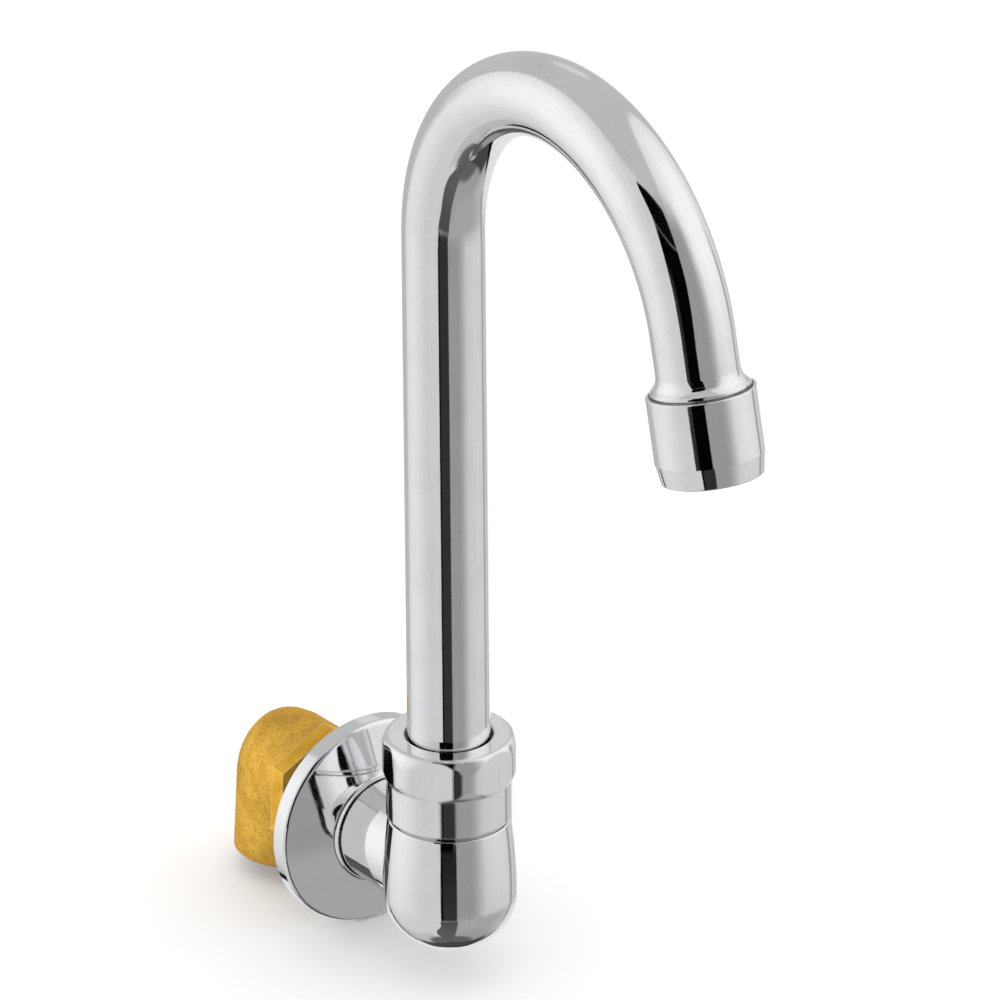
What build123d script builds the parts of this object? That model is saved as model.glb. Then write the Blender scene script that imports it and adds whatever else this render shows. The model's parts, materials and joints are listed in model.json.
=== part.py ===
from build123d import *
from math import atan2, cos, degrees, radians, sin
import os

# Wall faucet with a swivelling gooseneck spout, fed by an elbow behind the wall.
# Millimetres. The origin is on the shank's axis in the plane of the wall face.
# +Z is up, the spout points to -Y, and the supply elbow is behind the wall at +Y.

# Gooseneck tube
riser_offset = 35.4  # riser axis in front of the wall face
tube_r = 9.525
tube_wall = 1.0
bend_height = 160.5  # where the straight riser ends
bend_radius = 48.4
bend_angle = 166.7
outlet_straight = 8.0  # straight stretch between the bend and the flare
flare_length = 4.3
flare_lip = 0.9  # straight rim at the end of the flare
flare_edge_r = 0.3

# Clearances
braze_gap = 0.03
running_gap = 0.05
thread_gap = 0.05
loose_gap = 0.1

# Swivel joint: brazed ferrule, seals and the neck that holds them
ferrule_wall = 1.75
neck_wall = 1.8
skirt_wall = 1.25
nut_hole_gap = 0.55
tube_socket_depth = 7.5
ferrule_step_height = 9.7  # shoulder above the thrust washer
ferrule_drop = 0.5  # ferrule's top below the top of the neck
ferrule_nose_step = 0.55  # the nose is this much slimmer than the tube
ferrule_bore_wall = 2.7
thrust_washer_t = 0.8
o_ring_section = 1.45
o_ring_width = 1.9
o_ring_corner_r = 0.65
o_ring_groove_play = 0.25
upper_groove_drop = 2.3  # middle of the upper groove below the thrust washer's seat
o_ring_pitch = 4.6
nose_tip_land = 1.6  # nose below the lower groove
glide_ring_split = 1.2
lead_in = 0.4

# Packing nut
nut_base_gap = 0.8
skirt_height = 9.5
hex_height = 10.5
nut_lip = 3.2
neck_headroom = 2.0
hex_step = 0.1  # flats stand this far out from the skirt
hex_corner_r = 8.8
hex_clock = 12.7
hex_foot_rise = 2.6  # rounding of the corners down to the skirt
hex_head_drop = 4.0  # rounding of the corners up to the top
hex_head_step = 0.2  # top's rim inside the flats
nut_top_edge_r = 1.3

# Faucet body
body_top_z = 14.4
bulb_top_step = 0.3  # body's upper edge inside the nut's skirt
bulb_swell = 1.3
bulb_wide_z = -4.4
bulb_depth = 14.0
bulb_flatness = 1.0  # the base is this much flatter than a full dome
bulb_top_lean = 0.14  # slope of the side where it meets the upper edge
bulb_top_edge = 0.4
chamber_depth = 10.0  # waterway's floor below the shank axis
chamber_floor_r = 5.0
shank_r = 12.5
shank_bore_r = 6.5
nipple_r = 10.45
nipple_chamfer = 0.8

# Escutcheon flange and its gasket
flange_r = 25.05
flange_rim = 4.7
flange_rise = 3.4  # cone of the front face from the rim to the hub
flange_seat_depth = 1.5
flange_hub_land = 0.5
flange_hub_lip = 0.95  # hub's lip in front of the cone
flange_hub_sweep_r = 1.0  # hollow sweep from the cone to the lip
flange_edge_r = 1.3
flange_back_bevel = 0.5
flange_skin = 2.0
flange_rim_wall = 2.2
flange_hub_wall = 3.6
hub_relief = 0.3
gasket_play = 0.15

# Supply elbow
wall_gap = 12.5  # thickest wall between the flange and the elbow's collar
collar_length = 4.5
collar_corner_r = 16.0
collar_clock = 32.6
collar_edge_r = 0.5
nipple_engagement = 6.5
seal_t = 1.5
seal_wall = 2.6
arm_r = 13.7
arm_end_r = 11.9  # where the arm ends inside the leg's dome
arm_end_lift = 1.85
leg_y = 29.7
leg_top_r = 12.4
leg_top_z = -1.7  # straight side below, dome above
leg_foot_r = 13.3
leg_foot_z = -20.1
leg_foot_edge = 0.4
elbow_top_z = 13.9
elbow_crown_r = 10.0
elbow_crown_angle = 45
crotch_r = 1.6  # cast blend where the leg leaves the arm
elbow_water_r = 7.5
elbow_chamber_r = 8.6
inlet_r = 9.6
inlet_depth = 8.0
inlet_chamfer = 0.8

# Outlet: threaded adapter, aerator shell and the cartridge inside it
adapter_collar = 0.7
adapter_collar_step = 0.1
adapter_thread_step = 0.45
adapter_wall = 2.35
adapter_length = 8.6
shell_r = 12.37
shell_lip = 0.745  # wall beside the mouth that hides the adapter's collar
shell_top_gap = 0.15  # rim of the shell below the end of the flare
shell_length = 19.75
shell_mouth_gap = 0.3
shell_mouth_depth = 0.9
shell_top_edge_r = 0.35
shell_taper_length = 4.9
shell_taper = 0.84
shell_foot_edge_r = 0.4
shell_ledge = 0.9
washer_t = 1.5
washer_width = 2.4
cartridge_flange_t = 1.2
cartridge_wall = 0.9
cartridge_recess = 0.5  # outlet face inside the shell's mouth
grid_t = 1.5
grid_cell_r = 1.0
grid_web = 0.5
inlet_screen_t = 0.5
restrictor_t = 2.0
restrictor_hole_r = 0.7
restrictor_holes = 8
restrictor_ring_r = 5.2
mixing_cup_t = 2.5
mixing_floor_t = 0.8
mixing_rim = 0.9
mixing_slots = 8
mixing_slot_length = 2.6
mixing_slot_width = 0.8
mixing_ring_r = 6.1
outlet_screen_count = 3
screen_web_t = 0.35
screen_cell = 1.8
screen_pitch = 2.7
screen_rim = 1.0

# Radii that follow from the tube outwards
tube_bore_r = tube_r - tube_wall
socket_r = tube_r + braze_gap
shoulder_r = socket_r + ferrule_wall
counterbore_r = shoulder_r + loose_gap
neck_r = counterbore_r + neck_wall
nut_bore_r = neck_r + thread_gap
skirt_r = nut_bore_r + skirt_wall
hex_flat_r = skirt_r + hex_step
hex_reach_r = hex_corner_r + (hex_flat_r - hex_corner_r) / cos(radians(30))
hex_head_r = hex_flat_r - hex_head_step
nut_hole_r = tube_r + nut_hole_gap
nose_r = tube_r - ferrule_nose_step
nose_bore_r = nose_r - ferrule_bore_wall
swivel_bore_r = nose_r + running_gap
bulb_top_r = skirt_r - bulb_top_step
bulb_r = bulb_top_r + bulb_swell

# The bulb's base is a shoulder arc that runs into a flatter arc across the bottom
shoulder_arc_r = bulb_depth - bulb_flatness
shoulder_arc_x = bulb_r - shoulder_arc_r
base_arc_r = (shoulder_arc_x**2 + bulb_depth**2 - shoulder_arc_r**2) / (2 * bulb_flatness)
bulb_base_z = bulb_wide_z - bulb_depth
base_arc_z = bulb_base_z + base_arc_r
shoulder_turn = degrees(atan2(base_arc_z - bulb_wide_z, shoulder_arc_x))

# Heights that follow up the riser
nut_base_z = body_top_z + nut_base_gap
hex_base_z = nut_base_z + skirt_height
nut_top_z = hex_base_z + hex_height
nut_lip_z = nut_top_z - nut_lip
neck_top_z = nut_lip_z - neck_headroom
ferrule_top_z = neck_top_z - ferrule_drop
ferrule_step_z = ferrule_top_z - ferrule_step_height
seat_z = ferrule_step_z - thrust_washer_t
tube_base_z = ferrule_top_z - tube_socket_depth
groove_width = o_ring_width + 2 * o_ring_groove_play
groove_root_r = nose_r - o_ring_section
upper_groove_z = seat_z - upper_groove_drop
lower_groove_z = upper_groove_z - o_ring_pitch
nose_tip_z = lower_groove_z - groove_width / 2 - nose_tip_land

# Places that follow along the shank
flange_face_y = -(flange_rim + flange_rise)
flange_seat_y = flange_face_y + flange_seat_depth
flange_lip_y = flange_face_y - flange_hub_lip
collar_front_y = wall_gap
collar_back_y = collar_front_y + collar_length
nipple_end_y = collar_front_y + nipple_engagement
seal_end_y = nipple_end_y + seal_t
socket_bore_r = nipple_r + thread_gap
inlet_top_z = leg_foot_z + inlet_depth

# The outlet axis leaves the bend along outlet_direction
turn = radians(bend_angle)
outlet_direction = Vector(0, -sin(turn), cos(turn))
bend_end = Vector(0, -riser_offset - bend_radius * (1 - cos(turn)), bend_height + bend_radius * sin(turn))

# Places that follow along the outlet axis, measured from the end of the bend
flare_end = outlet_straight + flare_length
shell_mouth_r = shell_r - shell_lip
collar_r = shell_mouth_r - shell_mouth_gap
flare_r = collar_r - adapter_collar_step
flare_bore_r = flare_r - tube_wall
adapter_r = collar_r - adapter_thread_step
adapter_bore_r = adapter_r - adapter_wall
adapter_end = flare_end + adapter_length
shell_top = flare_end + shell_top_gap
shell_foot = shell_top + shell_length
shell_taper_start = shell_foot - shell_taper_length
shell_bore_r = adapter_r + thread_gap
washer_end = adapter_end + washer_t
ledge_at = washer_end + cartridge_flange_t
shell_throat_r = shell_bore_r - shell_ledge
cartridge_flange_r = shell_bore_r - loose_gap
cartridge_r = shell_throat_r - loose_gap
cartridge_bore_r = cartridge_r - cartridge_wall
cartridge_end = shell_foot - cartridge_recess
grid_top = cartridge_end - grid_t
disc_r = cartridge_bore_r - running_gap
restrictor_top = washer_end + inlet_screen_t
mixing_top = restrictor_top + restrictor_t
screens_top = mixing_top + mixing_cup_t
screen_height = (grid_top - screens_top) / outlet_screen_count

riser_axis = Axis((0, -riser_offset, 0), (0, 0, 1))
riser_plane = Plane.XZ.offset(riser_offset)
leg_axis = Axis((0, leg_y, 0), (0, 0, 1))
leg_plane = Plane.XZ.offset(-leg_y)
outlet_axis = Axis(bend_end, outlet_direction)
outlet_plane = Plane(origin=bend_end, x_dir=(1, 0, 0), z_dir=Vector(1, 0, 0).cross(outlet_direction))


def riser_level(z):
    """Horizontal plane centred on the riser."""
    return Plane(origin=(0, -riser_offset, z), x_dir=(1, 0, 0), z_dir=(0, 0, 1))


def shank_station(y):
    """Plane across the shank, facing the elbow."""
    return Plane(origin=(0, y, 0), x_dir=(1, 0, 0), z_dir=(0, 1, 0))


def outlet_station(distance):
    """Plane across the outlet, facing the way the water leaves."""
    return Plane(origin=bend_end + outlet_direction * distance, x_dir=(1, 0, 0), z_dir=outlet_direction)


# Gooseneck tube: riser, bend, straight end and flare
with BuildPart() as gooseneck_tube:
    with BuildLine(Plane.YZ) as centre_line:
        riser = Line((-riser_offset, tube_base_z), (-riser_offset, bend_height))
        bend = JernArc(start=riser @ 1, tangent=(0, 1), radius=bend_radius, arc_size=bend_angle)
        Line(bend @ 1, (bend @ 1) + (bend % 1) * outlet_straight)
    with BuildSketch(riser_level(tube_base_z)):
        Circle(tube_r)
        Circle(tube_bore_r, mode=Mode.SUBTRACT)
    sweep(path=centre_line.line)
    with BuildSketch(outlet_plane):
        with BuildLine():
            outside = TangentArc((tube_r, outlet_straight), (flare_r, flare_end - flare_lip), tangent=(0, 1))
            inside = TangentArc(
                (tube_bore_r, outlet_straight), (flare_bore_r, flare_end - flare_lip), tangent=(0, 1)
            )
            Polyline(outside @ 1, (flare_r, flare_end), (flare_bore_r, flare_end), inside @ 1)
            Line(inside @ 0, outside @ 0)
        make_face()
    revolve(axis=outlet_axis)
    rims = gooseneck_tube.edges().filter_by(GeomType.CIRCLE)
    fillet(rims.filter_by(lambda edge: abs(edge.radius - flare_r) < 0.001), flare_edge_r)

# Ferrule brazed on the foot of the tube: socket above, grooved nose below
with BuildPart() as swivel_ferrule:
    with BuildSketch(riser_plane):
        with BuildLine():
            Polyline(
                (nose_bore_r, nose_tip_z),
                (nose_r - lead_in, nose_tip_z),
                (nose_r, nose_tip_z + lead_in),
                (nose_r, ferrule_step_z),
                (shoulder_r, ferrule_step_z),
                (shoulder_r, ferrule_top_z),
                (socket_r, ferrule_top_z),
                (socket_r, tube_base_z),
                (nose_bore_r, tube_base_z),
                close=True,
            )
        make_face()
        for groove_z in (upper_groove_z, lower_groove_z):
            with Locations((groove_root_r, groove_z)):
                Rectangle(
                    o_ring_section + lead_in,
                    groove_width,
                    align=(Align.MIN, Align.CENTER),
                    mode=Mode.SUBTRACT,
                )
    revolve(axis=riser_axis)


def o_ring(groove_z):
    """Seal in its groove, pressed to an oval by the bore."""
    with BuildPart() as ring:
        with BuildSketch(riser_plane):
            with Locations((groove_root_r + o_ring_section / 2 + running_gap / 2, groove_z)):
                RectangleRounded(o_ring_section, o_ring_width, o_ring_corner_r)
        revolve(axis=riser_axis)
    return ring


ferrule_o_ring_upper = o_ring(upper_groove_z)
ferrule_o_ring_lower = o_ring(lower_groove_z)

# Split ring between the ferrule's shoulder and the lip of the nut
with BuildPart() as glide_ring:
    with BuildSketch(riser_level(ferrule_top_z)):
        Circle(shoulder_r)
        Circle(tube_r + loose_gap, mode=Mode.SUBTRACT)
        with Locations((shoulder_r, 0)):
            Rectangle(2 * (shoulder_r - tube_r), glide_ring_split, mode=Mode.SUBTRACT)
    extrude(amount=nut_lip_z - loose_gap - ferrule_top_z)

# Washer that the ferrule turns on
with BuildPart() as thrust_washer:
    with BuildSketch(riser_level(seat_z)):
        Circle(counterbore_r - running_gap)
        Circle(nose_r + loose_gap, mode=Mode.SUBTRACT)
    extrude(amount=thrust_washer_t - running_gap)

# Packing nut: hexagon with rounded corners, turned down to a round skirt
with BuildPart() as packing_nut:
    with BuildSketch(riser_level(hex_base_z)) as wrench_form:
        RegularPolygon(radius=hex_flat_r, side_count=6, major_radius=False, rotation=hex_clock)
        fillet(wrench_form.vertices(), hex_corner_r)
    extrude(amount=hex_height)
    with BuildSketch(riser_plane):
        with BuildLine():
            foot = TangentArc(
                (hex_reach_r, hex_base_z + hex_foot_rise), (skirt_r, hex_base_z), tangent=(0, -1)
            )
            head = TangentArc(
                (hex_reach_r, nut_top_z - hex_head_drop), (hex_head_r, nut_top_z), tangent=(0, 1)
            )
            Line(foot @ 0, head @ 0)
            Polyline(head @ 1, (0, nut_top_z), (0, hex_base_z), foot @ 1)
        make_face()
    revolve(axis=riser_axis, mode=Mode.INTERSECT)
    fillet(packing_nut.faces().sort_by(Axis.Z)[-1].edges(), nut_top_edge_r)
    with BuildSketch(riser_level(nut_base_z)):
        Circle(skirt_r)
    extrude(amount=skirt_height)
    chamfer(packing_nut.faces().sort_by(Axis.Z)[0].edges(), length=lead_in / 2)
    with BuildSketch(riser_plane):
        with BuildLine():
            Polyline(
                (0, nut_base_z),
                (nut_bore_r + lead_in, nut_base_z),
                (nut_bore_r, nut_base_z + lead_in),
                (nut_bore_r, nut_lip_z),
                (nut_hole_r, nut_lip_z),
                (nut_hole_r, nut_top_z - lead_in / 2),
                (nut_hole_r + lead_in / 2, nut_top_z),
                (0, nut_top_z),
                close=True,
            )
        make_face()
    revolve(axis=riser_axis, mode=Mode.SUBTRACT)

# Faucet body: bulb and neck on the riser axis, shank and threaded nipple towards the wall
with BuildPart() as faucet_body:
    with BuildSketch(riser_plane):
        with BuildLine():
            base = CenterArc((0, base_arc_z), base_arc_r, start_angle=270, arc_size=90 - shoulder_turn)
            shoulder = CenterArc((shoulder_arc_x, bulb_wide_z), shoulder_arc_r, -shoulder_turn, shoulder_turn)
            side = Spline(
                shoulder @ 1, (bulb_top_r, body_top_z - bulb_top_edge), tangents=((0, 1), (-bulb_top_lean, 1))
            )
            rounded = TangentArc(side @ 1, (bulb_top_r - bulb_top_edge, body_top_z), tangent=side % 1)
            Polyline(
                rounded @ 1,
                (neck_r, body_top_z),
                (neck_r, neck_top_z),
                (0, neck_top_z),
                base @ 0,
            )
        make_face()
    revolve(axis=riser_axis)
    with BuildSketch(shank_station(-riser_offset)):
        Circle(shank_r)
    extrude(amount=riser_offset + flange_seat_y)
    with BuildSketch(shank_station(flange_seat_y)):
        Circle(nipple_r)
    extrude(amount=nipple_end_y - flange_seat_y)
    chamfer(faucet_body.faces().sort_by(Axis.Y)[-1].edges(), length=nipple_chamfer)
    with BuildSketch(riser_plane):
        with BuildLine():
            Polyline(
                (0, neck_top_z),
                (counterbore_r + lead_in, neck_top_z),
                (counterbore_r, neck_top_z - lead_in),
                (counterbore_r, seat_z),
                (swivel_bore_r, seat_z),
                (swivel_bore_r, chamber_floor_r - chamber_depth),
            )
            floor = RadiusArc(
                (swivel_bore_r, chamber_floor_r - chamber_depth),
                (swivel_bore_r - chamber_floor_r, -chamber_depth),
                chamber_floor_r,
            )
            Polyline(floor @ 1, (0, -chamber_depth), (0, neck_top_z))
        make_face()
    revolve(axis=riser_axis, mode=Mode.SUBTRACT)
    with BuildSketch(shank_station(-riser_offset)):
        Circle(shank_bore_r)
    extrude(amount=riser_offset + nipple_end_y, mode=Mode.SUBTRACT)

# Escutcheon flange: coned face swept up to a hub that the shank's shoulder clamps, hollow back
with BuildPart() as escutcheon_flange:
    with BuildSketch(Plane.XY) as profile:
        with BuildLine():
            Polyline(
                (nipple_r + loose_gap, -hub_relief),
                (nipple_r + loose_gap, flange_seat_y),
                (shank_r + loose_gap, flange_seat_y),
                (shank_r + loose_gap, flange_lip_y + lead_in / 2),
                (shank_r + loose_gap + lead_in / 2, flange_lip_y),
                (shank_r + flange_hub_land, flange_lip_y),
                (shank_r + flange_hub_land, flange_face_y),
                (flange_r, -flange_rim),
                (flange_r, -flange_back_bevel),
                (flange_r - flange_back_bevel, 0),
                (flange_r - flange_rim_wall, 0),
                (flange_r - flange_rim_wall, flange_skin - flange_rim),
                (nipple_r + flange_hub_wall, flange_skin - flange_rim),
                (nipple_r + flange_hub_wall, -hub_relief),
                close=True,
            )
        make_face()
        hub_corner = profile.vertices().sort_by_distance((shank_r + flange_hub_land, flange_face_y))[0]
        fillet(hub_corner, flange_hub_sweep_r)
        rim_corner = profile.vertices().sort_by_distance((flange_r, -flange_rim))[0]
        fillet(rim_corner, flange_edge_r)
    revolve(axis=Axis.Y)

# Gasket in the flange's hollow, flush with the wall face
with BuildPart() as escutcheon_gasket:
    with BuildSketch(shank_station(flange_skin - flange_rim)):
        Circle(flange_r - flange_rim_wall - gasket_play)
        Circle(nipple_r + flange_hub_wall + gasket_play, mode=Mode.SUBTRACT)
    extrude(amount=flange_rim - flange_skin)

# Supply elbow: wrench collar, arm, rounded corner and leg with the threaded inlet
with BuildPart() as supply_elbow:
    with BuildSketch(shank_station(collar_back_y)):
        Circle(arm_r)
    with BuildSketch(shank_station(leg_y)):
        with Locations((0, -arm_end_lift)):
            Circle(arm_end_r)
    loft()
    with BuildSketch(leg_plane):
        with BuildLine():
            lower_side = Polyline(
                (0, leg_foot_z),
                (leg_foot_r - leg_foot_edge, leg_foot_z),
                (leg_foot_r, leg_foot_z + leg_foot_edge),
                (leg_top_r, leg_top_z),
            )
            crown = CenterArc(
                (0, elbow_top_z - elbow_crown_r), elbow_crown_r, elbow_crown_angle, 90 - elbow_crown_angle
            )
            Spline(lower_side @ 1, crown @ 0, tangents=(lower_side % 1, crown % 0))
            Line(crown @ 1, lower_side @ 0)
        make_face()
    revolve(axis=leg_axis)
    creases = supply_elbow.edges().filter_by(GeomType.BSPLINE).filter_by_position(Axis.Z, leg_foot_z, 0)
    fillet(creases, crotch_r)
    with BuildSketch(shank_station(collar_front_y)) as wrench_collar:
        RegularPolygon(radius=collar_corner_r, side_count=6, rotation=collar_clock)
        fillet(wrench_collar.vertices(), collar_edge_r)
    extrude(amount=collar_length)
    with BuildSketch(shank_station(collar_front_y)):
        Circle(socket_bore_r)
    extrude(amount=seal_end_y - collar_front_y, mode=Mode.SUBTRACT)
    with BuildSketch(shank_station(seal_end_y)):
        Circle(elbow_water_r)
    extrude(amount=leg_y - seal_end_y, mode=Mode.SUBTRACT)
    with BuildSketch(leg_plane):
        with BuildLine():
            Polyline(
                (0, 0),
                (elbow_water_r, 0),
                (elbow_water_r, inlet_top_z),
                (inlet_r, inlet_top_z),
                (inlet_r, leg_foot_z + inlet_chamfer),
                (inlet_r + inlet_chamfer, leg_foot_z),
                (0, leg_foot_z),
                close=True,
            )
        make_face()
    revolve(axis=leg_axis, mode=Mode.SUBTRACT)
    with Locations((0, leg_y, 0)):
        Sphere(elbow_chamber_r, mode=Mode.SUBTRACT)

# Flat seal between the end of the nipple and the elbow's inner shoulder
with BuildPart() as elbow_seal:
    with BuildSketch(shank_station(nipple_end_y)):
        Circle(nipple_r)
        Circle(nipple_r - seal_wall, mode=Mode.SUBTRACT)
    extrude(amount=seal_t)

# Threaded adapter brazed in the end of the flare
with BuildPart() as outlet_adapter:
    with BuildSketch(outlet_plane):
        with BuildLine():
            Polyline(
                (adapter_bore_r, flare_end),
                (collar_r, flare_end),
                (collar_r, flare_end + adapter_collar),
                (adapter_r, flare_end + adapter_collar),
                (adapter_r, adapter_end - lead_in),
                (adapter_r - lead_in, adapter_end),
                (adapter_bore_r, adapter_end),
                close=True,
            )
        make_face()
    revolve(axis=outlet_axis)

# Aerator shell: screwed on the adapter, holds the cartridge on an inner ledge
with BuildPart() as aerator_shell:
    with BuildSketch(outlet_plane):
        with BuildLine():
            Polyline(
                (shell_mouth_r, shell_top),
                (shell_r, shell_top),
                (shell_r, shell_taper_start),
                (shell_r - shell_taper, shell_foot),
                (shell_throat_r, shell_foot),
                (shell_throat_r, ledge_at),
                (shell_bore_r, ledge_at),
                (shell_bore_r, shell_top + shell_mouth_depth + (shell_mouth_r - shell_bore_r)),
                (shell_mouth_r, shell_top + shell_mouth_depth),
                close=True,
            )
        make_face()
    revolve(axis=outlet_axis)
    rims = aerator_shell.edges().filter_by(GeomType.CIRCLE)
    foot_rim = rims.filter_by(lambda edge: abs(edge.radius - (shell_r - shell_taper)) < 0.001)
    top_rim = rims.filter_by(lambda edge: abs(edge.radius - shell_r) < 0.001).sort_by(outlet_axis)[0]
    fillet(foot_rim, shell_foot_edge_r)
    fillet(top_rim, shell_top_edge_r)

# Rubber washer between the adapter and the cartridge
with BuildPart() as aerator_washer:
    with BuildSketch(outlet_station(adapter_end)):
        Circle(cartridge_flange_r)
        Circle(cartridge_flange_r - washer_width, mode=Mode.SUBTRACT)
    extrude(amount=washer_t)

# Cartridge housing: flanged cup whose floor is a honeycomb
with BuildPart() as aerator_housing:
    with BuildSketch(outlet_plane):
        with BuildLine():
            Polyline(
                (0, grid_top),
                (cartridge_bore_r, grid_top),
                (cartridge_bore_r, washer_end),
                (cartridge_flange_r, washer_end),
                (cartridge_flange_r, ledge_at),
                (cartridge_r, ledge_at),
                (cartridge_r, cartridge_end),
                (0, cartridge_end),
                close=True,
            )
        make_face()
    revolve(axis=outlet_axis)
    with BuildSketch(outlet_station(grid_top)) as honeycomb:
        with HexLocations(grid_cell_r + grid_web / 2, 9, 9):
            RegularPolygon(radius=grid_cell_r, side_count=6, major_radius=False)
        Circle(cartridge_bore_r - grid_web, mode=Mode.INTERSECT)
    extrude(amount=grid_t, mode=Mode.SUBTRACT)

# Screen that keeps grit out of the cartridge
with BuildPart() as inlet_screen:
    with BuildSketch(outlet_station(washer_end)):
        Circle(disc_r)
        with GridLocations(screen_pitch, screen_pitch, 5, 5):
            Rectangle(screen_cell, screen_cell, mode=Mode.SUBTRACT)
    extrude(amount=inlet_screen_t)

# Disc that meters the flow
with BuildPart() as flow_restrictor:
    with BuildSketch(outlet_station(restrictor_top)):
        Circle(disc_r)
        with PolarLocations(restrictor_ring_r, restrictor_holes):
            Circle(restrictor_hole_r, mode=Mode.SUBTRACT)
    extrude(amount=restrictor_t)

# Cup that mixes air and water through the slots in its rim
with BuildPart() as mixing_cup:
    with BuildSketch(outlet_station(mixing_top)):
        Circle(disc_r)
    extrude(amount=mixing_cup_t)
    with BuildSketch(outlet_station(mixing_top + mixing_floor_t)):
        Circle(disc_r - mixing_rim)
    extrude(amount=mixing_cup_t - mixing_floor_t, mode=Mode.SUBTRACT)
    with BuildSketch(outlet_station(mixing_top)):
        with PolarLocations(mixing_ring_r, mixing_slots):
            Rectangle(mixing_slot_length, mixing_slot_width)
    extrude(amount=mixing_floor_t, mode=Mode.SUBTRACT)

# Stack of rimmed screens that steady the stream
with BuildPart() as outlet_screens:
    for level in range(outlet_screen_count):
        screen_top = screens_top + level * screen_height
        with BuildSketch(outlet_station(screen_top)):
            Circle(disc_r)
            with GridLocations(screen_pitch, screen_pitch, 5, 5):
                Rectangle(screen_cell, screen_cell, mode=Mode.SUBTRACT)
        extrude(amount=screen_web_t)
        with BuildSketch(outlet_station(screen_top + screen_web_t)):
            Circle(disc_r)
            Circle(disc_r - screen_rim, mode=Mode.SUBTRACT)
        extrude(amount=screen_height - screen_web_t - running_gap)

pieces = {
    "gooseneck_tube": gooseneck_tube,
    "swivel_ferrule": swivel_ferrule,
    "ferrule_o_ring_upper": ferrule_o_ring_upper,
    "ferrule_o_ring_lower": ferrule_o_ring_lower,
    "glide_ring": glide_ring,
    "thrust_washer": thrust_washer,
    "packing_nut": packing_nut,
    "faucet_body": faucet_body,
    "escutcheon_flange": escutcheon_flange,
    "escutcheon_gasket": escutcheon_gasket,
    "supply_elbow": supply_elbow,
    "elbow_seal": elbow_seal,
    "outlet_adapter": outlet_adapter,
    "aerator_shell": aerator_shell,
    "aerator_washer": aerator_washer,
    "aerator_housing": aerator_housing,
    "inlet_screen": inlet_screen,
    "flow_restrictor": flow_restrictor,
    "mixing_cup": mixing_cup,
    "outlet_screens": outlet_screens,
}
os.makedirs("parts", exist_ok=True)
for name, piece in pieces.items():
    piece.part.label = name
    export_step(piece.part, f"parts/{name}.step")
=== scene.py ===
"""Looks of the gooseneck wall faucet: finishes, studio and camera over the CAD frame, in metres."""

import math

import bpy
from mathutils import Matrix, Vector
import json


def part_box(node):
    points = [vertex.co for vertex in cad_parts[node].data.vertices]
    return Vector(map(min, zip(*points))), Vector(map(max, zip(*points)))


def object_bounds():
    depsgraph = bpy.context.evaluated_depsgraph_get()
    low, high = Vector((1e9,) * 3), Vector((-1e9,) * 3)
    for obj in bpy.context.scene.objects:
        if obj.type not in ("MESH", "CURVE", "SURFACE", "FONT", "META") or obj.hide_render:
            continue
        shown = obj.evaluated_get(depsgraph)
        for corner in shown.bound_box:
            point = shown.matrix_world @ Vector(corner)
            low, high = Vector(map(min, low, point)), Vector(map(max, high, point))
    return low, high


MM = 0.001

# Camera: the photograph's viewing angle and perspective; angles in degrees, lens and sensor in mm
CAMERA_PLACE = (-1.604915, -2.377000, 1.479934)
CAMERA_AZIMUTH = -34.669
CAMERA_ELEVATION = 26.026
CAMERA_ROLL = -0.494
CAMERA_LENS = 505.77
CAMERA_SENSOR = 36
CAMERA_CLIP = (0.1, 60)

# Floor: just under the lowest point, so that no faces meet; the camera sees it a little lighter
FLOOR_GAP = 0.05 * MM
FLOOR_HALF = 30.0
FLOOR_COLOR = (0.95, 0.95, 0.95, 1)
FLOOR_LIFT = 0.15

# Display levels, 0 to 1, of what stands around the object for polished metal to mirror
DISPLAY_GAMMA = 2.2
TENT_LEVEL = 0.72
SHADE_LEVEL = 0.70
PANEL_LEVEL = 0.575
BACK_SPOT_LEVEL = 0.81
LOW_SPOT_LEVEL = 0.96
BACKDROP_LEVEL = 0.86
RIM_LEVEL = 0.04
STAND_LEVEL = 0.6
NADIR_LEVEL = 0.37
DARK_FLOOR_LEVEL = 0.27
CARD_LEVEL = 0.04
CARD_LEFT_LEVEL = 0.19
CARD_SEAM_LEVEL = 0.36
LOWER_CARD_EDGE_LEVEL = 0.08
GLINT_LEVEL = 0.79

# Where the studio's round parts are centred: azimuth, 0 at -Y and 90 at +X, and elevation
LEFT_GLOW = (-133, 8)
LEFT_DISC = (-112, -4)
RIGHT_GLOW = (65, 30)
RIGHT_DISC = (50, 12)
BACK_SPOT = (145, 27)
LOW_SPOT = (135, -22)

# Reflectance of the plating, bright and dulled, and the level that the studio is set against
CHROME_COLOR = (0.88, 0.885, 0.893, 1)
CHROME_DULL = (0.77, 0.775, 0.785, 1)
CHROME_LEVEL = 0.865
# Near black of the joints: grime plus painted shade where the gaps between parts fall into shade
JOINT_GRIME_AND_SHADE_COLOR = (0.015, 0.015, 0.015, 1)

# Raw brass: browner, golden and yellower skin, the same of the smoother collar, its marks, and
# colours for painted shade and a painted highlight
SKIN_BROWN = (0.76, 0.425, 0.055, 1)
SKIN_GOLD = (1.0, 0.61, 0.085, 1)
SKIN_YELLOW = (1.0, 0.68, 0.17, 1)
COLLAR_BROWN = (0.76, 0.4, 0.03, 1)
COLLAR_GOLD = (0.98, 0.56, 0.06, 1)
COLLAR_YELLOW = (1.0, 0.66, 0.14, 1)
DARK_GRAIN = (0.42, 0.155, 0.005, 1)
BRIGHT_GRAIN = (1.0, 0.76, 0.26, 1)
STAIN_COLOR = (0.28, 0.15, 0.03, 1)
TOP_SHADE_COLOR = (0.36, 0.17, 0.02, 1)
CORNER_SHADE_COLOR = (0.2, 0.09, 0.006, 1)
RUBBED_AND_HIGHLIGHT_COLOR = (1.0, 0.82, 0.46, 1)

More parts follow.
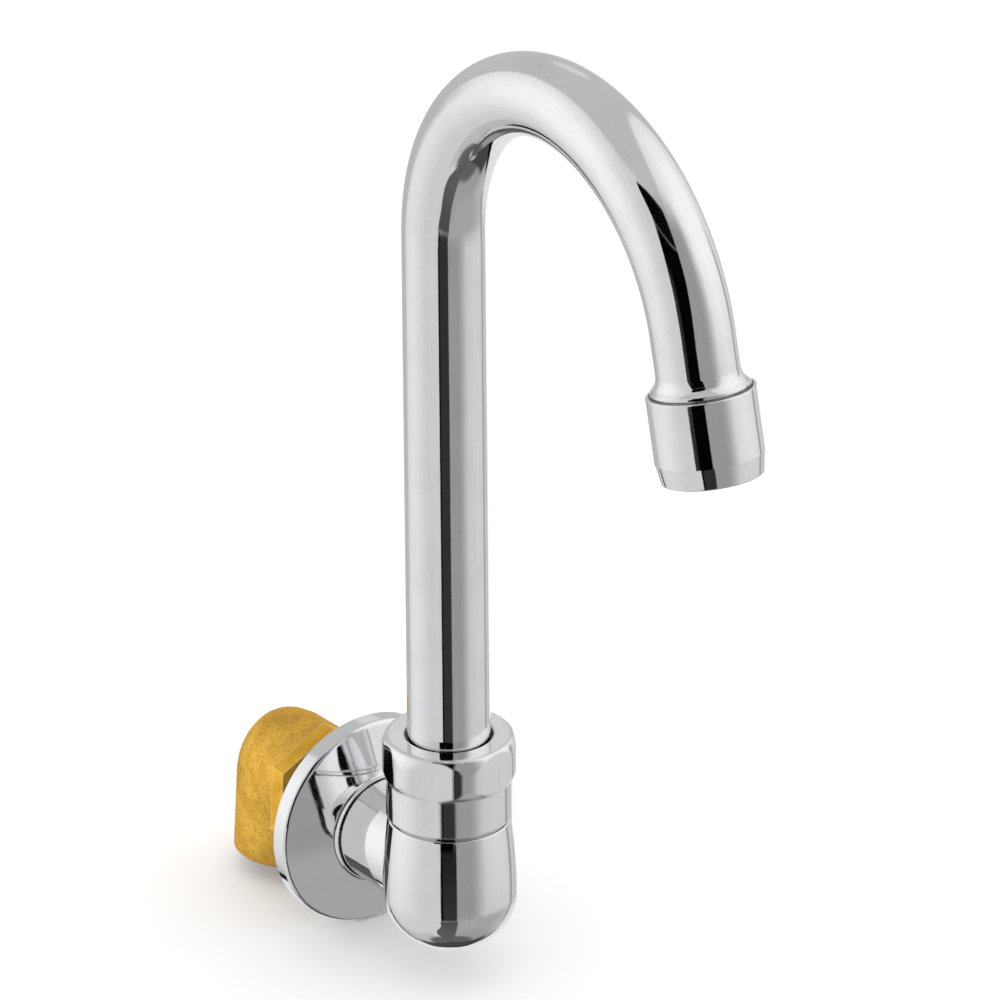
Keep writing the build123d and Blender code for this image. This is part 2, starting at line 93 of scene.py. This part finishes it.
# Pipe thread of the nipple and of the inlet, drawn by bump
THREAD_PITCH = 1.81 * MM
THREAD_DEPTH = 0.9 * MM
INLET_THREAD_R = 9.9 * MM


class Graph:
    """A node tree, with short calls for the nodes that the finishes share."""

    def __init__(self, tree):
        self.tree = tree
        tree.nodes.clear()

    def add(self, kind, inputs=None, **settings):
        node = self.tree.nodes.new("ShaderNode" + kind)
        for name, value in settings.items():
            setattr(node, name, value)
        for name, value in (inputs or {}).items():
            self.feed(node.inputs[name], value)
        return node

    def feed(self, socket, value):
        if isinstance(value, bpy.types.NodeSocket):
            self.tree.links.new(value, socket)
        else:
            socket.default_value = value

    def math(self, operation, *values):
        node = self.add("Math", operation=operation)
        for socket, value in zip(node.inputs, values):
            self.feed(socket, value)
        return node.outputs[0]

    def step(self, value, start, end, low=0.0, high=1.0):
        """Runs smoothly from low at start to high at end."""
        names = ("Value", "From Min", "From Max", "To Min", "To Max")
        inputs = dict(zip(names, (value, start, end, low, high)))
        return self.add("MapRange", inputs, interpolation_type="SMOOTHSTEP").outputs["Result"]

    def band(self, value, start, end, edge):
        """1 between start and end, 0 outside, over soft edges."""
        before, past = self.math("SUBTRACT", start, edge), self.math("ADD", start, edge)
        rise = self.step(value, before, past)
        before, past = self.math("SUBTRACT", end, edge), self.math("ADD", end, edge)
        fall = self.step(value, before, past, 1.0, 0.0)
        return self.math("MULTIPLY", rise, fall)

    def product(self, *values):
        result = values[0]
        for value in values[1:]:
            result = self.math("MULTIPLY", result, value)
        return result

    def length(self, x, y):
        """Length of the flat vector x, y."""
        squares = self.math("ADD", self.math("POWER", x, 2.0), self.math("POWER", y, 2.0))
        return self.math("SQRT", squares)

    def mix(self, factor, first, second):
        node = self.add("Mix", data_type="FLOAT")
        for index, value in zip((0, 2, 3), (factor, first, second)):
            self.feed(node.inputs[index], value)
        return node.outputs[0]

    def mix_color(self, factor, first, second):
        node = self.add("Mix", data_type="RGBA")
        for index, value in zip((0, 6, 7), (factor, first, second)):
            self.feed(node.inputs[index], value)
        return node.outputs[2]

    def split(self, vector):
        return self.add("SeparateXYZ", {0: vector}).outputs

    def join(self, x, y, z):
        return self.add("CombineXYZ", {0: x, 1: y, 2: z}).outputs[0]

    def position(self):
        return self.add("TexCoord").outputs["Object"]

    def noise(self, vector, size, detail=2.0, roughness=0.5):
        """Cloudy pattern whose patches are about size metres wide."""
        inputs = {"Vector": vector, "Scale": 1 / size, "Detail": detail, "Roughness": roughness}
        return self.add("TexNoise", inputs).outputs[0]

    def bump(self, height, distance, normal=None):
        inputs = {"Height": height, "Distance": distance}
        if normal is not None:
            inputs["Normal"] = normal
        return self.add("Bump", inputs).outputs[0]


# --- studio -------------------------------------------------------------------------------


def toward(azimuth, elevation):
    """Unit vector to a place in the studio; azimuth 0 is -Y and 90 is +X."""
    a, e = math.radians(azimuth), math.radians(elevation)
    return Vector((math.sin(a) * math.cos(e), -math.cos(a) * math.cos(e), math.sin(e)))


def angle_from(g, direction, place):
    """Degrees between a direction and a place in the studio."""
    inputs = {0: direction, 1: tuple(toward(*place))}
    dot = g.add("VectorMath", inputs, operation="DOT_PRODUCT").outputs["Value"]
    return g.math("DEGREES", g.math("ARCCOSINE", dot))


def diffusers(g, direction, azimuth, around, elevation):
    """Grey tent with a large round diffuser on either side, and a grey panel beside the card."""
    left_glow = g.step(angle_from(g, direction, LEFT_GLOW), 8, 62, 0.95, 0.79)
    left_disc = g.step(angle_from(g, direction, LEFT_DISC), 62, 57)
    left_disc = g.math("MAXIMUM", left_disc, g.band(azimuth, -90, -40, 5))
    left_disc = g.product(left_disc, g.step(elevation, 56, 54))
    level = g.mix(left_disc, TENT_LEVEL, left_glow)
    shade = g.product(g.step(around, 205, 190), g.step(around, 150, 160), g.step(elevation, 5, -20))
    level = g.mix(shade, level, SHADE_LEVEL)
    right_glow = g.step(angle_from(g, direction, RIGHT_GLOW), 10, 75, 0.95, 0.76)
    right_disc = g.step(angle_from(g, direction, RIGHT_DISC), 66, 61)
    level = g.mix(right_disc, level, right_glow)
    panel = g.product(g.step(azimuth, 32, 0), g.step(azimuth, -44, -38), g.step(elevation, 66, 42))
    level = g.mix(panel, level, PANEL_LEVEL)
    back_spot = g.step(angle_from(g, direction, BACK_SPOT), 10, 5)
    return g.mix(back_spot, level, BACK_SPOT_LEVEL)


def surroundings(g, level, direction, azimuth, around, elevation):
    """Floor below, lit backdrop behind with the dark rim of its table, and a stand beside it."""
    # Floor on the right, darker further down, at its nadir and behind
    right = g.band(azimuth, -30, 118, 12)
    far_floor = g.product(right, g.step(elevation, -26, -36))
    level = g.mix(far_floor, level, g.step(azimuth, 45, 90, 0.63, 0.7))
    near_floor = g.product(right, g.step(elevation, -48, -66))
    level = g.mix(near_floor, level, g.step(azimuth, 50, 100, 0.6, 0.56))
    level = g.mix(g.step(elevation, -69, -76), level, NADIR_LEVEL)
    dark_floor = g.product(g.band(around, 88, 186, 6), g.step(elevation, -57, -63))
    level = g.mix(dark_floor, level, DARK_FLOOR_LEVEL)
    low_spot = g.step(angle_from(g, direction, LOW_SPOT), 24, 12)
    level = g.mix(low_spot, level, LOW_SPOT_LEVEL)

    # Backdrop: the lower part of an ellipse, its rim just outside
    across = g.math("DIVIDE", g.math("SUBTRACT", around, 140.0), 47.0)
    down = g.math("DIVIDE", g.math("ADD", elevation, 33.0), 28.0)
    reach = g.length(across, down)
    backdrop = g.product(g.step(elevation, -26, -34), g.step(reach, 1.0, 0.92))
    level = g.mix(backdrop, level, BACKDROP_LEVEL)
    rim = g.band(reach, 0.98, 1.1, 0.03)
    rim = g.product(rim, g.step(elevation, -31, -35), g.step(around, 98, 108))
    level = g.mix(rim, level, RIM_LEVEL)

    stand = g.band(azimuth, 86, 94, 3)
    stand = g.product(stand, g.step(elevation, 15, -5), g.step(elevation, -46, -38))
    return g.mix(stand, level, STAND_LEVEL)


def black_card(g, level, azimuth, elevation):
    """Tall black card with a light seam, a dark grey card below it, their spread on the floor."""
    spread = g.band(azimuth, g.step(elevation, -43, -65, -53, -72), -22.0, 1.5)
    spread = g.product(spread, g.step(elevation, -31, -37))
    level = g.mix(spread, level, g.step(elevation, -38, -64, 0.3, 0.35))
    lower = g.band(azimuth, -51, -24, 0.8)
    lower = g.product(lower, g.step(elevation, -35, -31), g.step(elevation, -10, -13))
    level = g.mix(lower, level, g.step(elevation, -13, -30, 0.15, 0.21))
    lower_edge = g.product(lower, g.step(azimuth, -46, -48))
    level = g.mix(lower_edge, level, LOWER_CARD_EDGE_LEVEL)

    # Sides of the tall card: it widens to the left at the top and narrows at its foot
    left_edge = g.step(elevation, 36, 50, -63, -74)
    left_edge = g.mix(g.step(elevation, -9, -10.5), left_edge, -51.5)
    right_edge = g.step(elevation, -5, 30, -29.5, -23.5)
    # Mirrored twice, the near card stands further to the right and reaches less far left
    twice = g.math("GREATER_THAN", g.add("LightPath").outputs["Glossy Depth"], 1.5)
    left_edge = g.mix(twice, left_edge, g.math("MAXIMUM", left_edge, -61.0))
    shift = g.product(twice, g.band(elevation, -9, 3, 2), 14.0)
    right_edge = g.math("ADD", right_edge, shift)
    # Its top sags to either side of its middle
    sag = g.math("MULTIPLY", g.math("POWER", g.math("ADD", azimuth, 45.0), 2.0), 0.006)
    below_top = g.step(g.math("SUBTRACT", elevation, g.math("SUBTRACT", 56.5, sag)), 1, -1)

    # The card, a bright glint along its left edge, its greyer lower left part, and its seam
    card = g.band(azimuth, left_edge, right_edge, 0.8)
    card = g.product(card, below_top, g.step(elevation, -13.5, -12.5))
    glint = g.band(azimuth, g.math("SUBTRACT", left_edge, 4.0), left_edge, 0.8)
    glint = g.product(glint, g.band(elevation, -8.5, 44, 2))
    level = g.mix(glint, level, GLINT_LEVEL)
    level = g.mix(card, level, CARD_LEVEL)
    greyer = g.product(card, g.step(azimuth, -53, -57), g.step(elevation, 22, 14))
    level = g.mix(greyer, level, CARD_LEFT_LEVEL)
    seam = g.product(card, g.band(elevation, 35.6, 37.4, 0.8))
    return g.mix(seam, level, CARD_SEAM_LEVEL)


def studio_level(g):
    """Display level, 0 to 1, of everything that polished metal mirrors.

    Angles are in degrees. Azimuth jumps at the back, where around counts on, from -100 to 260.
    """
    direction = g.add("TexCoord").outputs["Generated"]
    x, y, z = g.split(direction)
    azimuth = g.math("DEGREES", g.math("ARCTAN2", x, g.math("MULTIPLY", y, -1.0)))
    elevation = g.math("DEGREES", g.math("ARCSINE", z))
    past_back = g.math("LESS_THAN", azimuth, -100.0)
    around = g.math("ADD", azimuth, g.math("MULTIPLY", past_back, 360.0))
    level = diffusers(g, direction, azimuth, around, elevation)
    level = surroundings(g, level, direction, azimuth, around, elevation)
    return black_card(g, level, azimuth, elevation)


def make_studio():
    """White for the camera, the tent for mirrors, and plain soft light for everything else."""
    world = bpy.data.worlds.new("studio")
    world.use_nodes = True
    bpy.context.scene.world = world
    g = Graph(world.node_tree)
    level = g.math("POWER", studio_level(g), DISPLAY_GAMMA)
    mirrored = g.math("DIVIDE", level, CHROME_LEVEL)
    ray = g.add("LightPath").outputs
    seen = g.math("MAXIMUM", ray["Is Camera Ray"], ray["Is Transmission Ray"])
    strength = g.mix(ray["Is Glossy Ray"], 1.0, mirrored)
    strength = g.mix(seen, strength, 1.0)
    background = g.add("Background", {"Color": (1, 1, 1, 1), "Strength": strength})
    output = g.add("OutputWorld")
    g.feed(output.inputs["Surface"], background.outputs[0])


def make_camera():
    """Camera at the photograph's place, turned by azimuth, elevation and roll."""
    scene = bpy.context.scene
    azimuth, roll = math.radians(CAMERA_AZIMUTH), math.radians(CAMERA_ROLL)
    back = toward(CAMERA_AZIMUTH, CAMERA_ELEVATION)
    level = Vector((math.cos(azimuth), math.sin(azimuth), 0))
    upward = back.cross(level)
    right = level * math.cos(roll) + upward * math.sin(roll)
    up = upward * math.cos(roll) - level * math.sin(roll)
    data = bpy.data.cameras.new("camera")
    data.sensor_width = CAMERA_SENSOR
    data.lens = CAMERA_LENS
    data.clip_start, data.clip_end = CAMERA_CLIP
    camera = bpy.data.objects.new("camera", data)
    turn = Matrix((right, up, back)).transposed().to_4x4()
    camera.matrix_world = Matrix.Translation(CAMERA_PLACE) @ turn
    scene.collection.objects.link(camera)
    scene.camera = camera


def make_floor(height):
    """Plain white floor that fills the view and keeps the object's shadow."""
    mesh = bpy.data.meshes.new("floor")
    signs = ((-1, -1), (1, -1), (1, 1), (-1, 1))
    corners = [(x * FLOOR_HALF, y * FLOOR_HALF, height) for x, y in signs]
    mesh.from_pydata(corners, [], [(0, 1, 2, 3)])
    floor = bpy.data.objects.new("floor", mesh)
    bpy.context.scene.collection.objects.link(floor)
    material = bpy.data.materials.new("floor")
    material.use_nodes = True
    g = Graph(material.node_tree)
    matt = g.add("BsdfDiffuse", {"Color": FLOOR_COLOR})
    ray = g.add("LightPath").outputs
    lift = g.add("Emission", {"Strength": g.math("MULTIPLY", ray["Is Camera Ray"], FLOOR_LIFT)})
    both = g.add("AddShader")
    g.feed(both.inputs[0], matt.outputs[0])
    g.feed(both.inputs[1], lift.outputs[0])
    output = g.add("OutputMaterial")
    g.feed(output.inputs["Surface"], both.outputs[0])
    mesh.materials.append(material)
    floor.visible_glossy = False


# --- finishes -----------------------------------------------------------------------------


def new_finish(name, **constants):
    """A material with a Principled shader whose plain values sit on its own sockets."""
    material = bpy.data.materials.new(name)
    material.use_nodes = True
    g = Graph(material.node_tree)
    surface = g.add("BsdfPrincipled")
    for key, value in constants.items():
        surface.inputs[key.replace("_", " ").title()].default_value = value
    output = g.add("OutputMaterial")
    g.feed(output.inputs["Surface"], surface.outputs[0])
    return material, g, surface


def upright(g):
    """Place with the vertical drawn out, so that patterns on it run up and down."""
    x, y, z = g.split(g.position())
    return g.join(x, y, g.math("MULTIPLY", z, 0.05))


def along_gooseneck(bend_y, bend_z, bend_r):
    """Place on the bent tube: across, out of the bend, and along it, with the last drawn out."""

    def place(g):
        x, y, z = g.split(g.position())
        out = g.math("SUBTRACT", y, bend_y)
        above = g.math("SUBTRACT", z, bend_z)
        up = g.math("MAXIMUM", above, 0.0)
        turn = g.math("ARCTAN2", up, out)
        reach = g.length(up, out)
        along = g.math("ADD", g.math("MULTIPLY", turn, bend_r), g.math("MINIMUM", above, 0.0))
        return g.join(x, g.math("SUBTRACT", reach, bend_r), g.math("MULTIPLY", along, 0.03))

    return place


def thread(g, along, across, upward):
    """Height, 0 to 0.5, of a screw thread that climbs along its axis."""
    angle = g.math("DIVIDE", g.math("ARCTAN2", upward, across), 2 * math.pi)
    turns = g.math("ADD", g.math("DIVIDE", along, THREAD_PITCH), angle)
    return g.math("PINGPONG", turns, 0.5)


def polished_chrome(name, place=upright, edge=0.15 * MM, gloss=0.025, lines=0.5, nipple=None):
    """Bright plating with waves, smears, specks, eased edges and dark joints, which are grime plus
    painted shade in the gaps between parts.

    Polishing lines run along place's third axis, as strong as lines says. The thread of the
    nipple ends at y = nipple.
    """
    material, g, surface = new_finish(name, metallic=1.0)
    position = g.position()
    drawn = place(g)
    normal = g.add("Bevel", {"Radius": edge}, samples=4).outputs[0]
    waves = g.bump(g.noise(position, 2.6 * MM, 1.0), 0.006 * MM, normal)
    hairs = g.bump(g.noise(drawn, 0.45 * MM, 2.0, 0.6), 0.0008 * MM * lines, waves)
    if nipple:
        x, y, z = g.split(position)
        inside = g.band(y, 0.4 * MM, nipple - 0.8 * MM, 0.2 * MM)
        ridges = g.math("MULTIPLY", thread(g, y, x, z), inside)
        hairs = g.bump(ridges, THREAD_DEPTH, hairs)
    smears = g.step(g.noise(position, 9 * MM, 4.0, 0.6), 0.42, 0.66)
    specks = g.step(g.noise(position, 0.7 * MM, 2.0, 0.7), 0.66, 0.76)
    roughness = g.math("ADD", gloss, g.math("MULTIPLY", smears, 0.04))
    roughness = g.math("ADD", roughness, g.math("MULTIPLY", specks, 0.05))
    streaks = g.step(g.noise(drawn, 0.5 * MM, 3.0, 0.6), 0.36, 0.66)
    mottle = g.step(g.noise(position, 1.3 * MM, 3.0, 0.6), 0.35, 0.7)
    tarnish = g.math("ADD", g.mix(smears, 0.25, 0.75), g.math("MULTIPLY", mottle, 0.25))
    drawn_out = g.mix(streaks, 1.0 - lines, 1.0)
    dulled = g.product(tarnish, drawn_out, 0.35 + 0.65 * lines)
    color = g.mix_color(dulled, CHROME_COLOR, CHROME_DULL)
    # Painted shade with some grime: narrow gaps found by ambient occlusion turn near black
    open_share = g.add("AmbientOcclusion", {"Distance": 0.7 * MM}, samples=4).outputs["AO"]
    color = g.mix_color(g.step(open_share, 0.6, 0.3), color, JOINT_GRIME_AND_SHADE_COLOR)
    g.feed(surface.inputs["Base Color"], color)
    g.feed(surface.inputs["Roughness"], roughness)
    g.feed(surface.inputs["Normal"], hairs)
    return material


def cast_brass(collar_back, inlet_top, dome_top, leg_y):
    """Raw sand-cast brass: smooth collar in front of collar_back, threaded inlet in the leg."""
    tint = (0.86, 0.58, 0.26, 1)
    material, g, surface = new_finish("cast_brass", metallic=0.6, specular_tint=tint)
    position = g.position()
    x, y, z = g.split(position)
    sand = g.step(y, collar_back - 0.2 * MM, collar_back + 0.3 * MM)
    clouds = g.noise(position, 7 * MM, 4.0, 0.6)
    patches = g.step(g.noise(position, 2.6 * MM, 3.0, 0.6), 0.3, 0.72)
    grains = g.noise(position, 0.42 * MM, 3.0, 0.7)
    coarse_grains = g.noise(position, 0.95 * MM, 3.0, 0.7)
    stains = g.step(g.noise(position, 3.0 * MM, 2.0, 0.5), 0.66, 0.78)
    rings = g.noise(g.join(x, y, g.math("MULTIPLY", z, 0.15)), 0.8 * MM, 2.0, 0.6)

    # Golden skin with browner clouds, dark and bright grains and a few stains; an oranger collar
    skin = g.mix_color(g.step(clouds, 0.34, 0.6), SKIN_BROWN, SKIN_GOLD)
    skin = g.mix_color(g.math("MULTIPLY", patches, 0.3), skin, SKIN_YELLOW)
    smooth = g.mix_color(g.step(clouds, 0.34, 0.6), COLLAR_BROWN, COLLAR_GOLD)
    smooth = g.mix_color(g.step(rings, 0.5, 0.72, 0.0, 0.4), smooth, COLLAR_YELLOW)
    color = g.mix_color(sand, smooth, skin)
    for pattern, weight in ((coarse_grains, 0.3), (grains, 0.5)):
        dark = g.product(sand, g.step(pattern, 0.5, 0.36), weight)
        color = g.mix_color(dark, color, DARK_GRAIN)
    light = g.product(sand, g.step(grains, 0.55, 0.68), 0.55)
    color = g.mix_color(light, color, BRIGHT_GRAIN)
    color = g.mix_color(g.math("MULTIPLY", stains, 0.45), color, STAIN_COLOR)
    # Painted shade: the top of the dome is darkened towards its crown, where less light falls on it
    shaded_top = g.step(z, dome_top - 9 * MM, dome_top, 0.0, 0.3)
    color = g.mix_color(shaded_top, color, TOP_SHADE_COLOR)

    # Painted shade darkens the corners and the gap behind the flange; the collar's edges show
    # bright wear with a painted highlight
    flat = g.add("NewGeometry").outputs["Normal"]
    eased = g.add("Bevel", {"Radius": 0.2 * MM}, samples=4).outputs[0]
    edge_bevel = g.add("Bevel", {"Radius": 0.5 * MM}, samples=6).outputs[0]
    alike = g.add("VectorMath", {0: flat, 1: edge_bevel}, operation="DOT_PRODUCT").outputs["Value"]
    # Painted shade: ambient occlusion over 2 and 16 mm darkens the creases and the gap behind the
    # flange
    for distance, weight in ((2.0 * MM, 0.8), (16 * MM, 0.62)):
        open_share = g.add("AmbientOcclusion", {"Distance": distance}, samples=6).outputs["AO"]
        shade_share = g.step(open_share, 0.88, 0.5, 0.0, weight)
        shade_share = g.math("MULTIPLY", shade_share, g.mix(sand, 0.55, 1.0))
        color = g.mix_color(shade_share, color, CORNER_SHADE_COLOR)
    # Wear with a painted highlight: the collar's open edges are lightened where the bevel normal
    # turns away from the face
    at_collar = g.step(y, collar_back + 1.6 * MM, collar_back + 0.8 * MM)
    worn_and_highlit = g.product(g.step(alike, 0.995, 0.955, 0.0, 0.8), g.step(open_share, 0.2, 0.4), at_collar)
    color = g.mix_color(worn_and_highlit, color, RUBBED_AND_HIGHLIGHT_COLOR)

    roughness = g.math("ADD", g.mix(sand, 0.26, 0.42), g.math("MULTIPLY", grains, 0.14))
    coarse = g.bump(g.math("MULTIPLY", clouds, sand), 0.3 * MM, eased)
    fine = g.bump(g.math("MULTIPLY", grains, g.mix(sand, 0.15, 1.0)), 0.11 * MM, coarse)
    from_leg = g.math("SUBTRACT", y, leg_y)
    reach = g.length(x, from_leg)
    bored = g.step(reach, INLET_THREAD_R + 0.3 * MM, INLET_THREAD_R)
    bored = g.product(bored, g.step(z, inlet_top, inlet_top - 0.4 * MM))
    ridges = g.math("MULTIPLY", thread(g, z, x, from_leg), bored)
    g.feed(surface.inputs["Base Color"], color)
    g.feed(surface.inputs["Roughness"], roughness)
    g.feed(surface.inputs["Normal"], g.bump(ridges, THREAD_DEPTH, fine))
    return material


def turned_brass():
    """Lathe-turned brass with fine rings about the riser."""
    material, g, surface = new_finish("turned_brass", metallic=1.0)
    height = g.split(g.position())["Z"]
    rings = g.noise(g.join(0.0, 0.0, height), 0.12 * MM, 2.0, 0.6)
    clouds = g.noise(g.position(), 5 * MM, 3.0)
    color = g.mix_color(clouds, (0.72, 0.5, 0.2, 1), (0.82, 0.62, 0.3, 1))
    g.feed(surface.inputs["Base Color"], color)
    g.feed(surface.inputs["Roughness"], g.math("ADD", 0.2, g.math("MULTIPLY", rings, 0.15)))
    g.feed(surface.inputs["Normal"], g.bump(rings, 0.01 * MM))
    return material


def moulded(name, dark, light, roughness, grain, depth):
    """Moulded rubber or plastic: slight clouding and a fine eroded-mould grain."""
    material, g, surface = new_finish(name, metallic=0.0)
    position = g.position()
    clouds = g.noise(position, 4 * MM, 3.0)
    fine = g.noise(position, grain, 3.0, 0.6)
    g.feed(surface.inputs["Base Color"], g.mix_color(clouds, dark, light))
    g.feed(surface.inputs["Roughness"], g.math("ADD", roughness, g.math("MULTIPLY", fine, 0.15)))
    g.feed(surface.inputs["Normal"], g.bump(fine, depth))
    return material


def steel_screen():
    """Stainless screen with brushed scratches."""
    material, g, surface = new_finish("steel_screen", metallic=1.0)
    x, y, z = g.split(g.position())
    scratches = g.noise(g.join(g.math("MULTIPLY", x, 0.1), y, z), 0.15 * MM, 3.0, 0.6)
    color = g.mix_color(scratches, (0.5, 0.5, 0.5, 1), (0.66, 0.66, 0.67, 1))
    g.feed(surface.inputs["Base Color"], color)
    g.feed(surface.inputs["Roughness"], g.math("ADD", 0.22, g.math("MULTIPLY", scratches, 0.2)))
    g.feed(surface.inputs["Normal"], g.bump(scratches, 0.004 * MM))
    return material


def dress(nodes, names, material):
    """Gives each named node the one material."""
    for name in names:
        mesh = nodes[name].data
        mesh.materials.clear()
        mesh.materials.append(material)


# --- scene --------------------------------------------------------------------------------

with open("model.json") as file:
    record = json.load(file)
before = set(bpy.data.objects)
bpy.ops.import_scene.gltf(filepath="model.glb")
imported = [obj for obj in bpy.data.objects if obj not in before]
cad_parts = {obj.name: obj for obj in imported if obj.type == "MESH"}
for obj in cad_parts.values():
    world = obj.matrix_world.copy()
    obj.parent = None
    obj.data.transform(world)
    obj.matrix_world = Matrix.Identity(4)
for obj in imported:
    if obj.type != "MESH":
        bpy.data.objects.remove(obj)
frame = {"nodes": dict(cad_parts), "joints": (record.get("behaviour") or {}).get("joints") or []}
cad_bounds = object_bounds()
nodes = frame["nodes"]
bpy.context.scene.view_settings.view_transform = "Standard"

# Main lines of the object, for the patterns that follow them
tube_r = 9.525 * MM
bend_r = 48.4 * MM
bend_y = frame["joints"][0]["pos_m"][1] - bend_r
bend_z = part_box("gooseneck_tube")[1].z - tube_r - bend_r
nipple_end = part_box("faucet_body")[1].y
elbow_low, elbow_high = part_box("supply_elbow")
collar_back = 17.0 * MM
inlet_depth = 8.0 * MM
inlet_top = elbow_low.z + inlet_depth
leg_y = 29.7 * MM

make_camera()
make_studio()
make_floor(cad_bounds[0].z - FLOOR_GAP)

tube_place = along_gooseneck(bend_y, bend_z, bend_r)
dress(nodes, ["gooseneck_tube"], polished_chrome("chrome_tube", tube_place, lines=0.75))
dress(nodes, ["faucet_body"], polished_chrome("chrome_body", nipple=nipple_end))
dress(nodes, ["packing_nut"], polished_chrome("chrome_nut", edge=0.9 * MM, lines=0.7))
dress(nodes, ["escutcheon_flange"], polished_chrome("chrome_flange", gloss=0.04, lines=0.1))
dress(nodes, ["aerator_shell", "outlet_adapter"], polished_chrome("chrome_outlet", lines=0.25))
dress(nodes, ["supply_elbow"], cast_brass(collar_back, inlet_top, elbow_high.z, leg_y))
dress(nodes, ["swivel_ferrule"], turned_brass())
rubber = moulded(
    "black_rubber",
    dark=(0.012, 0.012, 0.013, 1),
    light=(0.03, 0.03, 0.032, 1),
    roughness=0.5,
    grain=0.3 * MM,
    depth=0.02 * MM,
)
seals = ["ferrule_o_ring_upper", "ferrule_o_ring_lower"]
seals += ["escutcheon_gasket", "elbow_seal", "aerator_washer"]
dress(nodes, seals, rubber)
acetal = moulded(
    "white_acetal",
    dark=(0.74, 0.73, 0.69, 1),
    light=(0.82, 0.81, 0.78, 1),
    roughness=0.35,
    grain=0.4 * MM,
    depth=0.01 * MM,
)
dress(nodes, ["glide_ring", "thrust_washer"], acetal)
plastic = moulded(
    "grey_plastic",
    dark=(0.3, 0.31, 0.32, 1),
    light=(0.38, 0.385, 0.39, 1),
    roughness=0.35,
    grain=0.35 * MM,
    depth=0.012 * MM,
)
dress(nodes, ["aerator_housing", "flow_restrictor", "mixing_cup"], plastic)
dress(nodes, ["inlet_screen", "outlet_screens"], steel_screen())
